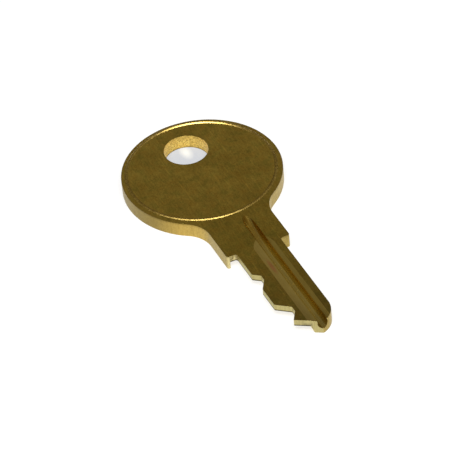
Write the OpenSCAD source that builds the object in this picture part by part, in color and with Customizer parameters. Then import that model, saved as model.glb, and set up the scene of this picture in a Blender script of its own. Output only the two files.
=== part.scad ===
// Small flat key, one piece of brass plate: a round bow with a ring hole, a neck, and a blade that is milled
// along both faces and cut along one edge. Millimetres. The origin is on the ring hole's axis, on the underside.
// +X runs along the blade to its tip, the cuts are on the -Y edge, and +Z is the face that is seen.

/* [Plate and bow] */
// Thickness of the plate
plate_t = 2.05; // [1.8:0.05:3]
// Diameter of the round bow
bow_d = 22; // [18:0.5:30]
// Diameter of the hole for a key ring
ring_hole_d = 6.1; // [4:0.1:7.5]
// Brass left between the ring hole and the bow's edge
ring_hole_rim = 2.8; // [1.5:0.1:4]
// Brass left between the raised line and the bow's edge, behind the ring hole
line_rim = 0.3; // [0.2:0.05:1]
// Distance from the bow's middle to the raised line's middle, towards the ring hole
line_shift = 0.28; // [0:0.02:0.5]
// Width of the raised line round the bow
line_w = 0.45; // [0.3:0.05:0.8]
// Height of the raised line
line_h = 0.13; // [0.05:0.01:0.2]
// Radius of the raised line's rounded crest
crest_r = 0.14; // [0.08:0.01:0.14]

/* [Neck] */
// Width of the neck
neck_w = 9.2; // [8.4:0.1:12]
// Length of the neck, from the bow's edge to the shoulders
neck_l = 6.65; // [5:0.05:12]
// Radius of the hollow curves between bow and neck
neck_fillet_r = 4.2; // [2:0.1:5]
// Radius of the shoulders' outer corners
shoulder_r = 0.3; // [0.1:0.05:0.5]
// Radius of the hollow corners where the shoulders meet the blade
inner_r = 0.35; // [0.1:0.05:0.5]

/* [Blade] */
// Width of the blade
blade_w = 6.4; // [5.6:0.1:7.6]
// Length of the blade, from the shoulders to the end of its round nose
blade_l = 17.4; // [15.5:0.1:24]
// Brass that the slanted end takes off the nose, measured on the blade's middle line
slant_l = 0.7; // [0.3:0.05:1.5]
// Angle between the slanted end and a square end
slant_angle = 33; // [20:1:45]

/* [Cuts] */
// Distance from the shoulder to the middle of the first cut
first_cut_x = 5.9; // [4:0.1:7]
// Depth of the first cut
first_cut_h = 0.95; // [0.3:0.05:1.9]
// Distance from the shoulder to the middle of the second cut
second_cut_x = 13.3; // [10.5:0.1:13.6]
// Depth of the second cut
second_cut_h = 1.8; // [0.3:0.05:1.9]
// Width of a cut's flat bottom
cut_flat_w = 0.9; // [0.4:0.1:1.4]
// Angle of a cut's flank on the bow's side, from the blade's edge
near_flank_angle = 50; // [35:1:70]
// Angle of a cut's flank on the nose's side, from the blade's edge
far_flank_angle = 32; // [30:1:60]

/* [Milling] */
// Diameter of the cutter that mills both faces
cutter_d = 40; // [34:1:60]
// Distance past the shoulders where the milling reaches its full depth
full_depth_x = 0.6; // [0.2:0.1:2.5]
// Depth of the slot in the upper face
slot_h = 1.3; // [1:0.05:1.5]
// Distance from the blade's back edge to the slot's upright wall
slot_in = 1.55; // [1.4:0.05:1.8]
// Width of the slot, whose bottom is a half circle
slot_w = 1.4; // [1:0.05:1.5]
// Depth of the shallow slopes beside the slot
slope_h = 0.1; // [0.05:0.01:0.2]
// Width of the slope between the slot and the land at the back edge
back_slope_w = 0.6; // [0.3:0.05:0.8]
// Width of the slope between the slot and the land at the cut edge
front_slope_w = 1.05; // [0.5:0.05:1.3]
// Depth of the rebate in the underside
rebate_h = 1.08; // [0.8:0.02:1.2]
// Brass left at full thickness along the neck's edge, beside the rebate
rebate_rim = 0.4; // [0.3:0.05:0.7]
// Distance across the blade from the slot's mouth to the end of the rebate's ceiling
slot_to_rebate = 0.7; // [0.5:0.05:0.9]
// Width that the rebate's wall gains from its ceiling to the underside
rebate_wall_w = 0.35; // [0.1:0.05:0.5]

/* [Hidden] */
$fn = 128;
through = 1;
brass = [0.5, 0.4, 0.17];

bow_r = bow_d / 2;
bow_x = bow_r - ring_hole_rim - ring_hole_d / 2;
shoulder_x = bow_x + bow_r + neck_l;
nose_r = blade_w / 2;
nose_x = shoulder_x + blade_l - nose_r;
blade_end = nose_x + nose_r;

// Middle of the hollow curve that touches both the bow's circle and the neck's side
fillet_y = neck_w / 2 + neck_fillet_r;
fillet_x = sqrt(pow(bow_r + neck_fillet_r, 2) - pow(fillet_y, 2));
// The curve's touching point on the bow, as a share of the way to that middle
touch = bow_r / (bow_r + neck_fillet_r);

line_r = bow_r - line_shift - line_rim - line_w / 2;
// Angle of the line's straight flanks, which touch its rounded crest
crest_drop = crest_r - line_h;
flank_angle = asin(crest_r / sqrt(pow(line_w / 2, 2) + pow(crest_drop, 2))) - atan(crest_drop / (line_w / 2));
// How far the line is rooted in the plate
line_root = 0.1;

cutter_r = cutter_d / 2;
cutter_x = shoulder_x + full_depth_x;
slot_r = slot_w / 2;
slot_back_y = nose_r - slot_in;
slot_front_y = slot_back_y - slot_w;
rebate_wall_y = slot_front_y - slot_to_rebate;

module bow_outline() {
    translate([bow_x, 0])
        circle(r = bow_r);
}

// The neck up to the shoulders, hollowed on both sides where it leaves the bow
module neck_outline() {
    translate([bow_x, 0])
        difference() {
            polygon([
                [0, -fillet_y * touch], [fillet_x * touch, -fillet_y * touch], [fillet_x, -neck_w / 2],
                [fillet_x, neck_w / 2], [fillet_x * touch, fillet_y * touch], [0, fillet_y * touch]
            ]);
            for (side = [-1, 1])
                translate([fillet_x, side * fillet_y])
                    circle(r = neck_fillet_r);
        }
    straight_x = bow_x + fillet_x;
    corner_x = shoulder_x - shoulder_r;
    corner_y = neck_w / 2 - shoulder_r;
    polygon([
        [straight_x, -neck_w / 2], [corner_x, -neck_w / 2], [shoulder_x, -corner_y],
        [shoulder_x, corner_y], [corner_x, neck_w / 2], [straight_x, neck_w / 2]
    ]);
    for (side = [-1, 1])
        translate([corner_x, side * corner_y])
            circle(r = shoulder_r);
}

// The hollow corners between the shoulders and the blade's two edges
module inner_corners() {
    for (side = [-1, 1])
        translate([shoulder_x, side * nose_r])
            difference() {
                square(2 * inner_r, center = true);
                translate([inner_r, side * inner_r])
                    circle(r = inner_r);
            }
}

// A cut with a flat bottom and two slopes, open towards the blade's edge
module cut(x, h) {
    near_run = (h + through) / tan(near_flank_angle);
    far_run = (h + through) / tan(far_flank_angle);
    translate([shoulder_x + x, -nose_r])
        polygon([
            [-cut_flat_w / 2, h], [cut_flat_w / 2, h],
            [cut_flat_w / 2 + far_run, -through], [-cut_flat_w / 2 - near_run, -through]
        ]);
}

// Everything past the slanted end, which leans towards the bow on the cut side
module slant() {
    translate([blade_end - slant_l, 0])
        rotate(-slant_angle)
            translate([0, -2 * blade_w])
                square([blade_w, 4 * blade_w]);
}

module blade_outline() {
    difference() {
        union() {
            translate([shoulder_x - shoulder_r, -nose_r])
                square([nose_x - shoulder_x + shoulder_r, blade_w]);
            translate([nose_x, 0])
                circle(r = nose_r);
        }
        slant();
        cut(first_cut_x, first_cut_h);
        cut(second_cut_x, second_cut_h);
    }
}

// What a cutter of the given section takes off the upper face: a straight run from the place of full depth out
// past the nose, and a curved run-out towards the bow. The section's first value is the cutter's radius.
module milled(h) {
    run_out = acos(1 - h / cutter_r) + 4;
    translate([cutter_x, 0, plate_t - h + cutter_r]) {
        rotate([-90, 90, 0])
            rotate_extrude(angle = run_out)
                children();
        rotate([0, 90, 0])
            linear_extrude(blade_end - cutter_x + through)
                children();
    }
}

// Section of the slot, with upright walls and a round bottom, and a shallow slope on either side
module slot_section() {
    top = cutter_r - slot_h;
    round_x = cutter_r - slot_r;
    translate([round_x, slot_front_y + slot_r])
        circle(r = slot_r);
    polygon([
        [round_x, slot_front_y], [round_x, slot_back_y], [top + slope_h, slot_back_y],
        [top, slot_back_y + back_slope_w], [top - through, slot_back_y + back_slope_w],
        [top - through, slot_front_y - front_slope_w], [top, slot_front_y - front_slope_w],
        [top + slope_h, slot_front_y]
    ]);
}

// Section of the rebate that thins the cut side from below
module rebate_section() {
    bottom = cutter_r - rebate_h;
    outer_y = -neck_w / 2 + rebate_rim;
    polygon([
        [cutter_r, outer_y], [cutter_r, rebate_wall_y], [bottom, rebate_wall_y + rebate_wall_w],
        [bottom - through, rebate_wall_y + rebate_wall_w], [bottom - through, outer_y]
    ]);
}

// Low ridge with straight flanks and a rounded crest, coined up from the upper face
module raised_line() {
    touch_y = crest_r * sin(flank_angle);
    touch_z = crest_r * cos(flank_angle) - crest_drop;
    translate([bow_x - line_shift, 0, plate_t])
        rotate_extrude()
            translate([line_r, 0]) {
                translate([0, -crest_drop])
                    circle(r = crest_r);
                polygon([
                    [-line_w / 2, -line_root], [line_w / 2, -line_root], [line_w / 2, 0],
                    [touch_y, touch_z], [-touch_y, touch_z], [-line_w / 2, 0]
                ]);
            }
}

module upside_down() {
    translate([0, 0, plate_t])
        mirror([0, 0, 1])
            children();
}

module key() {
    color(brass) {
        difference() {
            linear_extrude(plate_t) {
                bow_outline();
                neck_outline();
                inner_corners();
                blade_outline();
            }
            translate([0, 0, -through])
                cylinder(d = ring_hole_d, h = plate_t + 2 * through);
            milled(slot_h)
                slot_section();
            upside_down()
                milled(rebate_h)
                    rebate_section();
        }
        raised_line();
    }
}

key();
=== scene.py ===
"""Small flat brass key, lying on a white studio floor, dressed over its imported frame."""
import math

import bmesh
import bpy
from mathutils import Matrix, Vector


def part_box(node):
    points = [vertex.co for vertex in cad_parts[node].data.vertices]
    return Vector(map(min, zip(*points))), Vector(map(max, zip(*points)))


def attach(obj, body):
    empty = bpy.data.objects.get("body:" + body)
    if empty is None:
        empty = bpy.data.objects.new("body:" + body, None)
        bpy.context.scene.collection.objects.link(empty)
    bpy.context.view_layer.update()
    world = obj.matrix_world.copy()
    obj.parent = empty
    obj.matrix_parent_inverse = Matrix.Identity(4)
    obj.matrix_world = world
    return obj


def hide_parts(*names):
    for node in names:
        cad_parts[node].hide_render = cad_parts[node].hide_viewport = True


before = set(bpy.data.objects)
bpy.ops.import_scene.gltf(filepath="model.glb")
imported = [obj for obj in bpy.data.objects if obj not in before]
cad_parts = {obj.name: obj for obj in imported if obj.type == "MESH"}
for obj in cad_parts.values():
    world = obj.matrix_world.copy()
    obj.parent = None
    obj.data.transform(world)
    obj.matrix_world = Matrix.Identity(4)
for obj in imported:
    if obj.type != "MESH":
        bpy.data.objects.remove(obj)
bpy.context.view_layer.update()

MM = 0.001

# The plate's places and sizes, taken from the frame's box where it gives them
low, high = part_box("key")
BOW_R = high.y
BOW_X = low.x + BOW_R
PLATE_T = 2.05 * MM
HOLE_R = 3.05 * MM
SHOULDER_X = BOW_X + BOW_R + 6.65 * MM
BLADE_HALF = 3.2 * MM
NOSE_X = SHOULDER_X + 14.2 * MM
SLOT_BACK_Y = 1.65 * MM
SLOT_FRONT_Y = 0.25 * MM
# The rebate's wall at the neck's rim, its ceiling, and where the ceiling ends towards the slot
REBATE_RIM_Y = -4.2 * MM
REBATE_TOP_Z = 1.08 * MM
REBATE_END_Y = -0.45 * MM

# The raised line round the bow, with its middle, its radius and its section
LINE_X = BOW_X - 0.28 * MM
LINE_R = BOW_R - 0.805 * MM
LINE_W = 0.45 * MM
LINE_H = 0.13 * MM
CREST_R = 0.14 * MM
CREST_STEPS = 10
# Where the ridge's foot ends, as a share of its flank
FOOT = 0.3
LINE_POINTS = 360
# The line's height as a share of LINE_H, lowest towards LOW_TURN, beside the neck on the cut edge's side
LINE_MEAN, LINE_DIP, LINE_RIPPLE, RIPPLES = 0.87, 0.115, 0.01, 11
LOW_TURN = math.radians(345)

# Widest that each kind of edge is rounded. The bevel takes them as shares of BEVEL_W, and narrows all of them
# alike to what its shortest edge leaves.
ROLLED = 0.07 * MM
HOLE_EDGE = 0.06 * MM
SLOT_EDGE = 0.035 * MM
CUT_EDGE = 0.05 * MM
BEVEL_W = 0.3 * MM
# How far the upright corners of the cuts are rounded
CUT_CORNER = 0.4 * MM

# An edge is sharp from this turn. Faces that lie within FLAT_TURN become one, and so do points within WELD.
SHARP_TURN = math.radians(24)
FLAT_TURN = math.radians(0.6)
WELD = 2e-7
# A wall this near to a plane of the plate lies in it, and a level face this near to its upper or lower face
# is part of that. The nose's flat walls lie up to ARC_SLACK inside its round. What rises by LIFT, within
# LINE_SLACK of the raised line's width, is the line.
NEAR = 0.02 * MM
NEAR_FACE = 0.004 * MM
ARC_SLACK = 0.03 * MM
LIFT = 0.002 * MM
LINE_SLACK = 0.01 * MM
# The least share of a direction that lies along an axis: along Z for a level face, a leaning face and an
# upright edge, and along Y for a wall that runs along the blade
LEVEL, LEANING, UPRIGHT, SQUARE = 0.999, 0.02, 0.9, 0.99
# The walls of the cuts and of the slanted end lie past this X and below this Y
CUTS_FROM_X = SHOULDER_X + 2 * MM
CUTS_TO_Y = BLADE_HALF - 0.5 * MM
# A seam across the blade just before its end
END_SEAM_X = 39.42 * MM

# The floor lies a hair below the key, so that the two planes don't meet
FLOOR_R = 1.6
FLOOR_GAP = 0.01 * MM

# The lamps look at this place on the neck from this far
NECK_X = 18 * MM
LAMP_FAR = 0.6

# The camera as fitted to the photograph: its axes, its place in bow radii from the middle of the bow's upper
# face, and its lens and sensor in millimetres
CAMERA_RIGHT = (0.42614, 0.90152, -0.07531)
CAMERA_UP = (-0.56966, 0.33208, 0.75180)
CAMERA_BACK = (0.70277, -0.27747, 0.65508)
CAMERA_AT = (30.038, -11.628, 27.016)
LENS, SENSOR = 273.5, 36

FACE, EDGE, HOLE, MILLED, CUT = range(5)

# The paper's white, the painted shade in a disc under the ring hole with the radii between which it fades,
# and the painted glow there with its place and its size, in millimetres
PAPER = (0.27, 0.273, 0.275)
PAPER_SHINE = 0.74
HOLE_SHADE = (0.62, 0.64, 0.68)
HOLE_SHADE_FADE = (3.4, 5.4)
PAINTED_GLOW = (0.95, 0.95, 0.9)
GLOW_SPOT, GLOW_SIZE = (-1.8, 0.65, 0), (1.6, 0.9, 1)

# Painted shade in the hollow corner between the neck and the cut edge, its place and its size in millimetres
HOLLOW_SHADE_SPOT, HOLLOW_SHADE_SIZE = (23, -3.36, 1.6), (0.3, 0.26, 1.5)

# In a ramp of tints or shares, white changes nothing
WHITE = (1, 1, 1)

# Roughness of the milled faces, as greys, and the share of it that the slot's smooth back wall has
MARK_ROUGH = ((0.15, 0.15, 0.15), (0.19, 0.19, 0.19))
WALL_ROUGH = (0.12, 0.12, 0.12)

# Marks in the milled slot, each with its place and its size in millimetres and its tint: painted shade where
# the slot starts, painted shade in two places on its wall, a reddish stain on the slope in front of it, and
# that slope's darker end
SLOT_SHADE_AND_STAIN_MARKS = [
    ((16.9, 0.68, 2), (1.1, 0.5, 1), (0.6, 0.5, 0.32)),
    ((19.4, 1.5, 1.7), (3.2, 0.4, 1.2), (0.7, 0.66, 0.75)),
    ((38.9, 1.3, 1.5), (3, 0.9, 1.2), (0.62, 0.62, 0.7)),
    ((27.3, -0.22, 1.95), (1.9, 0.38, 1), (1.05, 0.7, 0.9)),
    ((38.8, -0.6, 2), (6, 1.2, 1), (0.76, 0.76, 0.8))
]


def ramp(tree, source, stops):
    """A colour ramp of (place, colour) stops, fed by source."""
    made = tree.nodes.new("ShaderNodeValToRGB")
    band = made.color_ramp
    while len(band.elements) < len(stops):
        band.elements.new(0.5)
    for element, (place, colour) in zip(band.elements, stops):
        element.position = place
        element.color = (*colour, 1)
    tree.links.new(source, made.inputs["Fac"])
    return made.outputs["Color"]


def spread(tree, source, low_in, high_in, low_out, high_out):
    """source mapped from one range to another, held within it."""
    made = tree.nodes.new("ShaderNodeMapRange")
    names = ("From Min", "From Max", "To Min", "To Max")
    for name, value in zip(names, (low_in, high_in, low_out, high_out)):
        made.inputs[name].default_value = value
    tree.links.new(source, made.inputs["Value"])
    return made.outputs["Result"]


def along(tree, coords, axis):
    """One of the three object coordinates, in millimetres."""
    parts = tree.nodes.new("ShaderNodeSeparateXYZ")
    tree.links.new(coords, parts.inputs["Vector"])
    made = tree.nodes.new("ShaderNodeMath")
    made.operation = "DIVIDE"
    made.inputs[1].default_value = MM
    tree.links.new(parts.outputs[axis], made.inputs[0])
    return made.outputs[0]


def reach_from(tree, coords, spot, size=(1, 1, 1)):
    """How far a place is from the spot, counted in steps of that size. Spot and size are in millimetres."""
    apart = coords
    for kind, values in (("SUBTRACT", spot), ("DIVIDE", size)):
        made = tree.nodes.new("ShaderNodeVectorMath")
        made.operation = kind
        made.inputs[1].default_value = [v * MM for v in values]
        tree.links.new(apart, made.inputs[0])
        apart = made.outputs["Vector"]
    made = tree.nodes.new("ShaderNodeVectorMath")
    made.operation = "LENGTH"
    tree.links.new(apart, made.inputs[0])
    return made.outputs["Value"]


def noise(tree, coords, scale, detail=3.0, stretch=(1, 1, 1), turn=0.0, rough=0.55):
    """Noise in object space, scale in cells per millimetre, stretched along the axes."""
    place = tree.nodes.new("ShaderNodeMapping")
    place.inputs["Scale"].default_value = [s / MM for s in stretch]
    place.inputs["Rotation"].default_value = (0, 0, turn)
    tree.links.new(coords, place.inputs["Vector"])
    made = tree.nodes.new("ShaderNodeTexNoise")
    made.inputs["Scale"].default_value = scale
    made.inputs["Detail"].default_value = detail
    made.inputs["Roughness"].default_value = rough
    tree.links.new(place.outputs["Vector"], made.inputs["Vector"])
    return made.outputs["Fac"]


def blend(tree, kind, factor, first, second):
    """Two colours mixed by that kind of blend. first and second may be sockets or colours."""
    made = tree.nodes.new("ShaderNodeMix")
    made.data_type = "RGBA"
    made.blend_type = kind
    for name, value in (("Factor", factor), ("A", first), ("B", second)):
        wanted = "VALUE" if name == "Factor" else "RGBA"
        socket = [s for s in made.inputs if s.name == name and s.type == wanted][0]
        if isinstance(value, bpy.types.NodeSocket):
            tree.links.new(value, socket)
        elif name == "Factor":
            socket.default_value = value
        else:
            socket.default_value = (*value, 1)
    return [s for s in made.outputs if s.type == "RGBA"][0]


def tinted(tree, base, tint, share=1):
    """base multiplied by a tint, to that share. tint may be a socket or a colour."""
    return blend(tree, "MULTIPLY", share, base, tint)


def banded(tree, coords, axis, start, end, stops):
    """A colour ramp along one axis, from start to end in millimetres."""
    return ramp(tree, spread(tree, along(tree, coords, axis), start, end, 0, 1), stops)


def bump(tree, height, distance, strength, below=None):
    """A bump of that height, in metres, laid over another one."""
    made = tree.nodes.new("ShaderNodeBump")
    made.inputs["Distance"].default_value = distance
    made.inputs["Strength"].default_value = strength
    tree.links.new(height, made.inputs["Height"])
    if below is not None:
        tree.links.new(below, made.inputs["Normal"])
    return made.outputs["Normal"]


def metal(name):
    """A new metal material: (material, tree, shader, object coordinates)."""
    made = bpy.data.materials.new(name)
    made.use_nodes = True
    tree = made.node_tree
    shader = tree.nodes["Principled BSDF"]
    shader.inputs["Metallic"].default_value = 1
    coords = tree.nodes.new("ShaderNodeTexCoord").outputs["Object"]
    return made, tree, shader, coords


def connect(tree, shader, base, rough, normal):
    """Gives the shader its colour, roughness and normal."""
    for name, source in (("Base Color", base), ("Roughness", rough), ("Normal", normal)):
        tree.links.new(source, shader.inputs[name])


def face_brass():
    """Rolled and coined faces: olive brass with fine grain, stains and hairlines, duller on the blade."""
    made, tree, shader, coords = metal("brass_face")
    cloud = noise(tree, coords, 0.35, 4)
    stain = noise(tree, coords, 0.9, 3)
    grain = noise(tree, coords, 5.5, 2)
    rolled = noise(tree, coords, 2.4, 3, stretch=(0.35, 1.6, 1), turn=0.5)
    scratch = noise(tree, coords, 1.5, 1, stretch=(0.12, 3.2, 1), turn=1.1)
    base = ramp(tree, cloud, [
        (0.3, (0.735, 0.545, 0.13)), (0.5, (0.835, 0.62, 0.15)), (0.7, (0.95, 0.72, 0.183))
    ])
    base = tinted(tree, base, banded(tree, coords, "X", 12, 42, [
        (0, WHITE), (0.17, (0.88, 0.885, 0.83)), (0.3, (0.84, 0.855, 0.79)), (0.55, (0.785, 0.785, 0.76)),
        (0.9, (0.57, 0.59, 0.64))
    ]))
    base = tinted(tree, base, ramp(tree, stain, [
        (0.34, (0.84, 0.9, 0.86)), (0.5, WHITE), (0.66, (1, 0.94, 0.86))
    ]))
    base = tinted(tree, base, ramp(tree, grain, [(0.3, (0.62, 0.6, 0.5)), (0.65, WHITE)]), 0.65)
    base = tinted(tree, base, ramp(tree, rolled, [(0.35, (0.72, 0.7, 0.62)), (0.6, WHITE)]), 0.5)
    base = tinted(tree, base, (1.25, 1.22, 1.2), spread(tree, scratch, 0.64, 0.7, 0, 1))
    normal = bump(tree, cloud, 0.03 * MM, 0.5)
    normal = bump(tree, grain, 0.004 * MM, 0.6, normal)
    normal = bump(tree, spread(tree, scratch, 0.64, 0.7, 1, 0), 0.01 * MM, 0.5, normal)
    normal = bump(tree, rolled, 0.003 * MM, 0.5, normal)
    connect(tree, shader, base, spread(tree, grain, 0.3, 0.7, 0.2, 0.27), normal)
    return made


def line_brass():
    """The raised line: as the faces, but softly burnished."""
    made, tree, shader, coords = metal("brass_line")
    grain = noise(tree, coords, 4, 2)
    base = ramp(tree, grain, [(0.3, (0.48, 0.335, 0.085)), (0.7, (0.68, 0.5, 0.15))])
    connect(tree, shader, base, spread(tree, grain, 0.3, 0.7, 0.26, 0.36), bump(tree, grain, 0.01 * MM, 0.7))
    return made


def lower_edge_shade(tree, coords):
    """Painted shade along the lower edge of the thinned blade: a grey of 1 everywhere but there."""
    top, end, wall, start = (v / MM for v in (REBATE_TOP_Z, REBATE_END_Y, REBATE_RIM_Y, SHOULDER_X))
    grey = spread(tree, along(tree, coords, "Z"), top + 0.08, top + 0.24, 0.12, 1)
    for axis, low_in, high_in, low_out, high_out in (
        ("Y", end - 0.1, end, 0, 1), ("X", start - 0.4, start - 0.2, 1, 0), ("Y", wall, wall + 0.1, 1, 0)
    ):
        made = tree.nodes.new("ShaderNodeMath")
        made.operation = "MAXIMUM"
        tree.links.new(grey, made.inputs[0])
        limit = spread(tree, along(tree, coords, axis), low_in, high_in, low_out, high_out)
        tree.links.new(limit, made.inputs[1])
        grey = made.outputs[0]
    return grey


def edge_brass():
    """Blanked outline: upright shear marks and fine pits; painted reflection leaves it greyer round the bow
    and golden in the hollow curve, and painted shade darkens it in places.
    """
    made, tree, shader, coords = metal("brass_edge")
    sheared = noise(tree, coords, 3.5, 3, stretch=(1, 1, 0.15))
    pits = noise(tree, coords, 7, 3)
    base = ramp(tree, sheared, [(0.3, (0.54, 0.38, 0.1)), (0.6, (0.62, 0.45, 0.125))])
    base = tinted(tree, base, ramp(tree, pits, [(0.32, (0.6, 0.56, 0.5)), (0.55, WHITE)]), 0.5)
    # Painted reflection along the outline: darker and greyer round the bow, golden in the hollow curve,
    # darker on the neck, a painted highlight on the shoulder's wall and paler past it
    reflection_tone = banded(tree, coords, "X", 0, 25, [
        (0.12, (0.52, 0.55, 0.6)), (0.36, (0.55, 0.565, 0.58)), (0.44, (0.61, 0.61, 0.59)),
        (0.544, (0.98, 0.95, 0.88)), (0.624, (0.96, 0.95, 0.9)), (0.704, (0.73, 0.77, 0.79)),
        (0.9, (0.73, 0.77, 0.79)), (0.909, (1.3, 1.55, 2.8)), (0.918, (1.3, 1.55, 2.8)),
        (0.93, (0.79, 0.97, 1.3))
    ])
    # Painted shade on the walls towards the far side (+Y)
    far_side_shade = spread(tree, along(tree, coords, "Y"), -1, 1, 0, 1)
    base = tinted(tree, base, blend(tree, "MIX", far_side_shade, reflection_tone, (0.74, 0.77, 0.84)))
    # Painted shade: darker and greyer along the top of the wall
    base = tinted(tree, base, banded(tree, coords, "Z", 0, 2, [(0.86, WHITE), (1, (0.72, 0.7, 0.66))]))
    # Painted shade in the hollow corner between the neck and the cut edge
    corner = spread(tree, reach_from(tree, coords, HOLLOW_SHADE_SPOT, HOLLOW_SHADE_SIZE), 0.4, 1, 1, 0)
    base = tinted(tree, base, (0.45, 0.42, 0.38), corner)
    # Painted shade along the lower edge of the thinned blade
    base = tinted(tree, base, lower_edge_shade(tree, coords))
    normal = bump(tree, pits, 0.006 * MM, 0.6, bump(tree, sheared, 0.012 * MM, 0.5))
    connect(tree, shader, base, spread(tree, pits, 0.3, 0.7, 0.5, 0.38), normal)
    return made


def hole_brass():
    """Punched wall of the ring hole: golden and grainy, with painted shade where it meets the underside."""
    made, tree, shader, coords = metal("brass_hole")
    grain = noise(tree, coords, 5, 3)
    torn = noise(tree, coords, 1.4, 3, stretch=(1, 1, 0.6))
    base = ramp(tree, torn, [(0.3, (0.87, 0.61, 0.16)), (0.65, (0.97, 0.71, 0.21))])
    grit = ramp(tree, grain, [(0.35, (0.55, 0.52, 0.42)), (0.6, (1.13, 1.11, 1.04))])
    base = tinted(tree, base, grit, 0.95)
    # Painted shade at the foot of the wall, where it meets the underside
    base = tinted(tree, base, banded(tree, coords, "Z", 0, 2, [
        (0.02, (0.5, 0.48, 0.42)), (0.15, (1, 0.98, 0.9)), (0.6, WHITE), (1, (0.94, 0.93, 0.88))
    ]))
    normal = bump(tree, grain, 0.045 * MM, 0.9, bump(tree, torn, 0.01 * MM, 0.5))
    connect(tree, shader, base, spread(tree, grain, 0.3, 0.7, 0.5, 0.34), normal)
    return made


def milled_brass():
    """Milled slot, slopes and rebate: cleaner brass with marks along the blade, smooth on the slot's wall."""
    made, tree, shader, coords = metal("brass_milled")
    marks = noise(tree, coords, 9, 2, stretch=(0.03, 1, 1))
    cloud = noise(tree, coords, 0.8, 3)
    base = ramp(tree, cloud, [(0.3, (0.78, 0.61, 0.21)), (0.7, (0.85, 0.67, 0.25))])
    base = tinted(tree, base, ramp(tree, marks, [(0.35, (0.75, 0.72, 0.66)), (0.6, WHITE)]), 0.2)
    # Browner where the slot starts, before the shoulder
    runout_tint = spread(tree, along(tree, coords, "X"), SHOULDER_X / MM - 4.5, SHOULDER_X / MM - 1.5, 1, 0)
    base = tinted(tree, base, (0.95, 0.87, 0.6), runout_tint)
    # Lighter in front of the slot's back wall, with painted shade on that wall
    base = tinted(tree, base, banded(tree, coords, "Y", -1, 3, [
        (0.3, (1.14, 1.14, 1.19)), (0.337, (1.1, 1.15, 1.17)), (0.55, (1.1, 1.15, 1.17)),
        (0.62, (0.96, 0.98, 1)), (0.66, (0.93, 0.95, 1)), (0.67, (1, 1.04, 1))
    ]))
    # Painted shade at the slot's start and on its wall, and a reddish stain on the slope
    for spot, size, tint in SLOT_SHADE_AND_STAIN_MARKS:
        base = tinted(tree, base, tint, spread(tree, reach_from(tree, coords, spot, size), 0.3, 1.05, 1, 0))
    wall = banded(tree, coords, "Y", -1, 3, [
        (0.61, WHITE), (0.64, WALL_ROUGH), (0.664, WALL_ROUGH), (0.67, WHITE)
    ])
    rough = tinted(tree, ramp(tree, marks, [(0.3, MARK_ROUGH[0]), (0.7, MARK_ROUGH[1])]), wall)
    connect(tree, shader, base, rough, bump(tree, marks, 0.0006 * MM, 0.5))
    return made


def cut_brass():
    """Cut flanks, flats and slanted end: bright, with upright cutter marks and painted shade along the lower
    edge.
    """
    made, tree, shader, coords = metal("brass_cut")
    marks = noise(tree, coords, 7, 2, stretch=(1, 1, 0.06))
    base = ramp(tree, marks, [(0.35, (0.42, 0.355, 0.145)), (0.62, (0.53, 0.455, 0.2))])
    # Painted shade along the lower edge of the thinned blade
    base = tinted(tree, base, lower_edge_shade(tree, coords))
    connect(tree, shader, base, spread(tree, marks, 0.3, 0.7, 0.34, 0.46), bump(tree, marks, 0.008 * MM, 0.6))
    return made


def on_line(point):
    """Whether a point lies on the raised line round the bow, as seen from above."""
    return abs(math.hypot(point.x - LINE_X, point.y) - LINE_R) < LINE_W / 2 + LINE_SLACK


def is_raised(face):
    """Whether a face of the frame's solid is part of the raised line."""
    return all(on_line(v.co) for v in face.verts) and max(v.co.z for v in face.verts) > PLATE_T + LIFT


def finish_of(face):
    """Which finish a face of the plate has, from where it lies and which way it looks."""
    spot = face.calc_center_median()
    out = face.normal
    if abs(out.z) > LEVEL and min(abs(spot.z), abs(spot.z - PLATE_T)) < NEAR_FACE:
        return FACE
    if abs(out.z) > LEANING:
        return MILLED
    if abs(out.y) > SQUARE and min(abs(spot.y - SLOT_BACK_Y), abs(spot.y - SLOT_FRONT_Y)) < NEAR:
        return MILLED
    if abs(spot.y - REBATE_RIM_Y) < NEAR and out.y > SQUARE:
        return MILLED
    if math.hypot(spot.x, spot.y) < HOLE_R:
        return HOLE
    nose = spot.x > NOSE_X and math.hypot(spot.x - NOSE_X, spot.y) > BLADE_HALF - ARC_SLACK
    blanked = nose or spot.y < -BLADE_HALF + NEAR
    if spot.x > CUTS_FROM_X and spot.y < CUTS_TO_Y and not blanked:
        return CUT
    return EDGE


def stands(edge):
    """Whether an edge of the plate is upright."""
    return abs((edge.verts[0].co - edge.verts[1].co).normalized().z) > UPRIGHT


def kinds_at(edge):
    """The finishes that meet at a sharp edge of the plate, or none where it isn't sharp."""
    if len(edge.link_faces) != 2 or edge.calc_face_angle() < SHARP_TURN:
        return set()
    return {f.material_index for f in edge.link_faces}


def is_cut_corner(edge):
    """Whether an edge is an upright corner of a cut."""
    kinds = kinds_at(edge)
    return stands(edge) and CUT in kinds and kinds <= {CUT, EDGE}


def rounding(edge):
    """How wide an edge of the plate is rounded, as a share of BEVEL_W."""
    kinds = kinds_at(edge)
    if not kinds or stands(edge):
        return 0
    for kind, width in ((MILLED, SLOT_EDGE), (CUT, CUT_EDGE), (HOLE, HOLE_EDGE)):
        if kind in kinds:
            return width / BEVEL_W
    return ROLLED / BEVEL_W


def show(name, shape, materials):
    """A new object in the scene, made from a bmesh, which is freed."""
    mesh = bpy.data.meshes.new(name)
    shape.to_mesh(mesh)
    shape.free()
    for made in materials:
        mesh.materials.append(made)
    piece = bpy.data.objects.new(name, mesh)
    bpy.context.scene.collection.objects.link(piece)
    return piece


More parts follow.
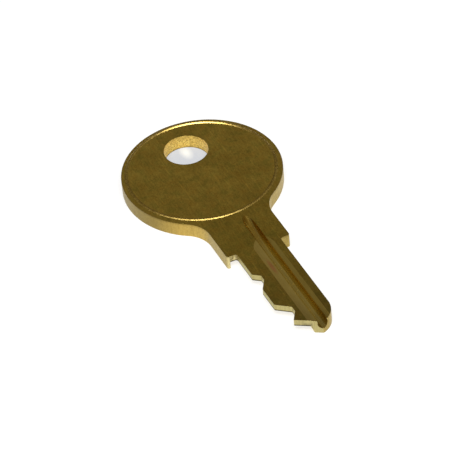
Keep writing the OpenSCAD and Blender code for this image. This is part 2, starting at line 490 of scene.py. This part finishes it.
def plate(materials):
    """The key's plate, made from the frame's solid, with rounded edges and a finish on each kind of face."""
    shape = bmesh.new()
    shape.from_mesh(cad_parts["key"].data)
    bmesh.ops.remove_doubles(shape, verts=shape.verts, dist=WELD)
    # The raised line comes off, because it is a piece of its own
    bmesh.ops.delete(shape, geom=[f for f in shape.faces if is_raised(f)], context="FACES")
    bmesh.ops.bridge_loops(shape, edges=[e for e in shape.edges if e.is_boundary])
    bmesh.ops.recalc_face_normals(shape, faces=shape.faces)
    bmesh.ops.dissolve_limit(
        shape, angle_limit=FLAT_TURN, use_dissolve_boundaries=False, verts=shape.verts, edges=shape.edges
    )
    # The seam keeps the corners of the blade's end from bending the normals of its long faces
    whole = shape.verts[:] + shape.edges[:] + shape.faces[:]
    bmesh.ops.bisect_plane(shape, geom=whole, plane_co=(END_SEAM_X, 0, 0), plane_no=(1, 0, 0))
    for face in shape.faces:
        face.material_index = finish_of(face)
        face.smooth = True
    corners = [e for e in shape.edges if is_cut_corner(e)]
    bmesh.ops.bevel(
        shape, geom=corners, offset=CUT_CORNER, offset_type="OFFSET", segments=3, profile=0.5, affect="EDGES",
        clamp_overlap=True, material=-1
    )
    weight = shape.edges.layers.float.new("bevel_weight_edge")
    for edge in shape.edges:
        edge[weight] = rounding(edge)
        if kinds_at(edge) and edge[weight] == 0:
            edge.smooth = False
    piece = show("key_plate", shape, materials)
    soften = piece.modifiers.new("rounded_edges", "BEVEL")
    soften.limit_method = "WEIGHT"
    soften.width = BEVEL_W
    soften.segments = 4
    soften.use_clamp_overlap = True
    soften.miter_outer = "MITER_ARC"
    even = piece.modifiers.new("even_normals", "WEIGHTED_NORMAL")
    even.keep_sharp = True
    even.weight = 100
    return piece


def ridge():
    """The raised line's section as (across, up) places: straight flanks that touch a rounded crest."""
    drop = CREST_R - LINE_H
    flank = math.asin(CREST_R / math.hypot(LINE_W / 2, drop)) - math.atan(2 * drop / LINE_W)
    leans = [flank * (2 * i / CREST_STEPS - 1) for i in range(CREST_STEPS + 1)]
    crest = [(CREST_R * math.sin(lean), CREST_R * math.cos(lean) - drop) for lean in leans]
    left, half = crest[0], LINE_W / 2
    near = [(-half, 0), (-half + FOOT * (left[0] + half), FOOT * left[1])]
    return near + crest + [(-across, up) for across, up in reversed(near)]


def raised_line(material):
    """The line round the bow: a low ridge, a little uneven in height as coining leaves it."""
    section = ridge()
    shape = bmesh.new()
    rows = []
    for i in range(LINE_POINTS):
        turn = 2 * math.pi * i / LINE_POINTS
        fade = LINE_MEAN - LINE_DIP * math.cos(turn - LOW_TURN) - LINE_RIPPLE * math.sin(RIPPLES * turn)
        row = []
        for across, up in section:
            out = LINE_R + across
            place = (LINE_X + out * math.cos(turn), out * math.sin(turn), PLATE_T + up * fade)
            row.append(shape.verts.new(place))
        rows.append(row)
    for near, far in zip(rows, rows[1:] + rows[:1]):
        for j in range(len(section) - 1):
            shape.faces.new((near[j], near[j + 1], far[j + 1], far[j])).smooth = True
    bmesh.ops.recalc_face_normals(shape, faces=shape.faces)
    return show("raised_line", shape, [material])


def floor():
    """A white studio floor, with painted shade in a disc under the ring hole and a painted glow there."""
    shape = bmesh.new()
    bmesh.ops.create_circle(shape, cap_ends=True, segments=64, radius=FLOOR_R)
    bmesh.ops.translate(shape, verts=shape.verts, vec=(0, 0, -FLOOR_GAP))
    paper = bpy.data.materials.new("white_paper")
    paper.use_nodes = True
    tree = paper.node_tree
    shader = tree.nodes["Principled BSDF"]
    coords = tree.nodes.new("ShaderNodeTexCoord").outputs["Object"]
    # Painted shade: the paper is greyer in a disc under the ring hole
    ring = spread(tree, reach_from(tree, coords, (0, 0, 0)), *HOLE_SHADE_FADE, 0, 1)
    shade = ramp(tree, ring, [(0, HOLE_SHADE), (1, WHITE)])
    # A painted glow on the paper inside the ring hole
    glow = spread(tree, reach_from(tree, coords, GLOW_SPOT, GLOW_SIZE), 0.1, 1.1, 1, 0)
    shade = blend(tree, "MIX", glow, shade, PAINTED_GLOW)
    tree.links.new(tinted(tree, shade, PAPER), shader.inputs["Base Color"])
    tree.links.new(shade, shader.inputs["Emission Color"])
    shader.inputs["Emission Strength"].default_value = PAPER_SHINE
    shader.inputs["Roughness"].default_value = 0.9
    shader.inputs["Specular IOR Level"].default_value = 0.1
    piece = show("floor", shape, [paper])


def lamp(name, elevation, azimuth, size, radiance):
    """A soft lamp, LAMP_FAR from the neck in that direction in degrees, as wide and as high as size says."""
    data = bpy.data.lights.new(name, "AREA")
    data.shape = "RECTANGLE"
    data.size, data.size_y = size
    data.energy = radiance * math.pi * size[0] * size[1]
    rise, turn = math.radians(elevation), math.radians(azimuth)
    aside = Vector((math.cos(rise) * math.cos(turn), math.cos(rise) * math.sin(turn), math.sin(rise)))
    made = bpy.data.objects.new(name, data)
    made.location = Vector((NECK_X, 0, 0)) + LAMP_FAR * aside
    made.rotation_mode = "QUATERNION"
    made.rotation_quaternion = aside.to_track_quat("Z", "Y")
    bpy.context.scene.collection.objects.link(made)


def room():
    """A dim room, darkest low down, and white where the camera looks past the floor."""
    world = bpy.data.worlds.new("studio")
    world.use_nodes = True
    tree = world.node_tree
    shade = tree.nodes["Background"]
    towards = tree.nodes.new("ShaderNodeSeparateXYZ")
    tree.links.new(tree.nodes.new("ShaderNodeTexCoord").outputs["Generated"], towards.inputs["Vector"])
    dim = ramp(tree, towards.outputs["Z"], [
        (0, (0.06, 0.05, 0.03)), (0.56, (0.19, 0.17, 0.11)), (0.64, (0.17, 0.15, 0.095)),
        (0.74, (0.15, 0.122, 0.066)), (0.92, (0.135, 0.1, 0.042))
    ])
    seen = tree.nodes.new("ShaderNodeLightPath").outputs["Is Camera Ray"]
    tree.links.new(blend(tree, "MIX", seen, dim, WHITE), shade.inputs["Color"])
    shade.inputs["Strength"].default_value = 1
    bpy.context.scene.world = world


def camera():
    """The camera as fitted to the photograph from the bow's circles and the straight edges."""
    data = bpy.data.cameras.new("camera")
    data.sensor_width = SENSOR
    data.lens = LENS
    data.clip_start = 0.01
    data.clip_end = 20
    made = bpy.data.objects.new("camera", data)
    turned = Matrix((CAMERA_RIGHT, CAMERA_UP, CAMERA_BACK)).transposed().to_4x4()
    x, y, z = (BOW_R * v for v in CAMERA_AT)
    eye = Vector((BOW_X + x, y, PLATE_T + z))
    made.matrix_world = Matrix.Translation(eye) @ turned
    bpy.context.scene.collection.objects.link(made)
    bpy.context.scene.camera = made


# The finishes stand in the order of FACE, EDGE, HOLE, MILLED and CUT
body = plate([face_brass(), edge_brass(), hole_brass(), milled_brass(), cut_brass()])
line = raised_line(line_brass())
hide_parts("key")
for piece in (body, line):
    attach(piece, "root")

floor()
room()
lamp("front", elevation=64, azimuth=-22, size=(0.56, 0.32), radiance=9)
lamp("side", elevation=10, azimuth=75, size=(0.5, 0.2), radiance=3)
camera()
bpy.context.scene.view_settings.view_transform = "Standard"
